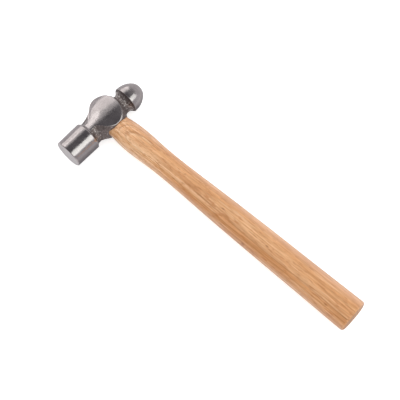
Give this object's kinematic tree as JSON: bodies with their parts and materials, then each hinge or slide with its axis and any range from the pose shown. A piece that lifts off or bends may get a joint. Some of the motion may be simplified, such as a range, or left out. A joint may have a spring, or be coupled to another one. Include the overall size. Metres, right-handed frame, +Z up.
{
  "type": "ball peen hammer",
  "caption": "Ball peen hammer lying on its side: forged steel head with a flat round face and a ball end, wedged on an oval ash handle, for riveting and shaping metal.",
  "frame": {"origin": "middle of the box that the hammer fills as it lies on its side, at the height of the surface under it", "axes": "+X down the handle from head to butt, +Y towards the ball end, -Y towards the striking face, +Z up, square to the flat of the head"},
  "size_m": [0.334, 0.1018, 0.0306],
  "materials": {
    "forged_steel": "belt-polished poll, cheeks and ball over a rough dark forged skin on the necks and flanks",
    "ash_wood": "sanded straight-grained ash under thin clear lacquer",
    "wedge_wood": "plain sawn hardwood",
    "wedge_steel": "plain mill steel, hammered at the back"
  },
  "bodies": {
    "root": {"head": "forged_steel", "handle": "ash_wood", "wooden_wedge": "wedge_wood", "steel_wedges": "wedge_steel"}
  },
  "joints": []
}
